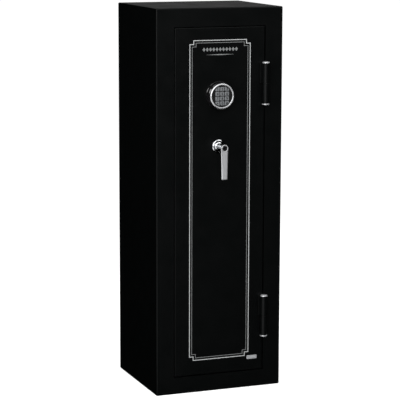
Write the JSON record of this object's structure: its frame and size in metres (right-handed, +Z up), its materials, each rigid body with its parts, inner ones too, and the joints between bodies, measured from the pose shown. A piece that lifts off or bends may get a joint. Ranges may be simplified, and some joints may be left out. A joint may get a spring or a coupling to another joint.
{
  "type": "gun safe",
  "caption": "Tall narrow fire-lined steel safe for long guns with an inset hinged door, lever handle, round electronic keypad and throwing bolts.",
  "frame": {"origin": "centre of the cabinet's footprint, on the floor", "axes": "+Z up, +X to the right of a person facing the door, the door faces -Y"},
  "size_m": [0.483, 0.481, 1.397],
  "materials": {
    "powder_coat": "satin",
    "zinc_plate": "satin",
    "chrome_plate": "polished",
    "satin_lever": "satin",
    "blank_plate": "satin",
    "battery_case": "satin",
    "black_plastic": "gloss",
    "key_plastic": "satin",
    "fireboard": "matte",
    "carpet": "matte",
    "carpeted_board": "matte",
    "foam": "matte",
    "seal_rubber": "matte"
  },
  "bodies": {
    "cabinet": {"body_wrap": "powder_coat", "top_wall": "powder_coat", "bottom_wall": "powder_coat", "left_stile": "powder_coat", "right_stile": "powder_coat", "header_rail": "powder_coat", "sill_rail": "powder_coat", "jamb_seal": "seal_rubber", "floor_fireboard": "fireboard", "ceiling_fireboard": "fireboard", "left_fireboard": "fireboard", "right_fireboard": "fireboard", "rear_fireboard": "fireboard", "floor_pad": "carpet", "barrel_rest": "foam", "shelf": "carpeted_board", "shelf_support": "powder_coat", "frame_knuckle_upper": "powder_coat", "frame_knuckle_lower": "powder_coat", "hinge_pin_upper": "chrome_plate", "hinge_pin_lower": "chrome_plate"},
    "door": {"door_shell": "powder_coat", "door_fireboard": "fireboard", "bolt_work_box": "zinc_plate", "door_lining_panel": "carpeted_board", "dead_bolt_upper": "chrome_plate", "dead_bolt_lower": "chrome_plate", "blank_plate": "blank_plate", "guide_stud_upper": "zinc_plate", "guide_stud_lower": "zinc_plate", "lock_case": "zinc_plate", "keypad_cable": "black_plastic", "handle_rosette": "chrome_plate", "keypad_housing": "black_plastic", "keypad_ring": "chrome_plate", "door_knuckle_upper": "powder_coat", "door_knuckle_lower": "powder_coat"},
    "bolt_work": {"bolt_bar": "zinc_plate", "live_bolt_upper": "chrome_plate", "live_bolt_middle": "chrome_plate", "live_bolt_lower": "chrome_plate"},
    "handle": {"lever": "satin_lever", "hub_screw": "black_plastic", "spindle": "zinc_plate", "handle_cam": "zinc_plate"},
    "lock_plunger": {"lock_plunger": "chrome_plate"},
    "battery_drawer": {"battery_tray": "black_plastic", "battery": "battery_case"},
    "key_1": {"key_1": "key_plastic"},
    "key_2": {"key_2": "key_plastic"},
    "key_3": {"key_3": "key_plastic"},
    "key_4": {"key_4": "key_plastic"},
    "key_5": {"key_5": "key_plastic"},
    "key_6": {"key_6": "key_plastic"},
    "key_7": {"key_7": "key_plastic"},
    "key_8": {"key_8": "key_plastic"},
    "key_9": {"key_9": "key_plastic"},
    "key_clear": {"key_clear": "key_plastic"},
    "key_0": {"key_0": "key_plastic"},
    "key_enter": {"key_enter": "key_plastic"}
  },
  "joints": [
    {"name": "door_swing", "type": "hinge", "parent": "cabinet", "child": "door", "pos_m": [0.171, -0.2235, 0.696], "axis": [0, 0, 1], "range_deg": [0, 180]},
    {"name": "handle_turn", "type": "hinge", "parent": "door", "child": "handle", "pos_m": [-0.005, -0.2095, 0.902], "axis": [0, 1, 0], "range_deg": [0, 90]},
    {"name": "bolt_throw", "type": "slide", "parent": "door", "child": "bolt_work", "axis": [-1, 0, 0], "range_m": [0, 0.0301]},
    {"name": "plunger_travel", "type": "slide", "parent": "door", "child": "lock_plunger", "axis": [0, 1, 0], "range_m": [0, 0.008]},
    {"name": "battery_tray_slide", "type": "slide", "parent": "door", "child": "battery_drawer", "axis": [0, 0, -1], "range_m": [0, 0.045]},
    {"name": "key_1_press", "type": "slide", "parent": "door", "child": "key_1", "axis": [0, 1, 0], "range_m": [0, 0.001], "stiffness_N_per_m": 600},
    {"name": "key_2_press", "type": "slide", "parent": "door", "child": "key_2", "axis": [0, 1, 0], "range_m": [0, 0.001], "stiffness_N_per_m": 600},
    {"name": "key_3_press", "type": "slide", "parent": "door", "child": "key_3", "axis": [0, 1, 0], "range_m": [0, 0.001], "stiffness_N_per_m": 600},
    {"name": "key_4_press", "type": "slide", "parent": "door", "child": "key_4", "axis": [0, 1, 0], "range_m": [0, 0.001], "stiffness_N_per_m": 600},
    {"name": "key_5_press", "type": "slide", "parent": "door", "child": "key_5", "axis": [0, 1, 0], "range_m": [0, 0.001], "stiffness_N_per_m": 600},
    {"name": "key_6_press", "type": "slide", "parent": "door", "child": "key_6", "axis": [0, 1, 0], "range_m": [0, 0.001], "stiffness_N_per_m": 600},
    {"name": "key_7_press", "type": "slide", "parent": "door", "child": "key_7", "axis": [0, 1, 0], "range_m": [0, 0.001], "stiffness_N_per_m": 600},
    {"name": "key_8_press", "type": "slide", "parent": "door", "child": "key_8", "axis": [0, 1, 0], "range_m": [0, 0.001], "stiffness_N_per_m": 600},
    {"name": "key_9_press", "type": "slide", "parent": "door", "child": "key_9", "axis": [0, 1, 0], "range_m": [0, 0.001], "stiffness_N_per_m": 600},
    {"name": "key_clear_press", "type": "slide", "parent": "door", "child": "key_clear", "axis": [0, 1, 0], "range_m": [0, 0.001], "stiffness_N_per_m": 600},
    {"name": "key_0_press", "type": "slide", "parent": "door", "child": "key_0", "axis": [0, 1, 0], "range_m": [0, 0.001], "stiffness_N_per_m": 600},
    {"name": "key_enter_press", "type": "slide", "parent": "door", "child": "key_enter", "axis": [0, 1, 0], "range_m": [0, 0.001], "stiffness_N_per_m": 600}
  ],
  "couplings": [
    {"joint": "bolt_throw", "follows": "handle_turn", "m_per_rad": 0.019099}
  ]
}
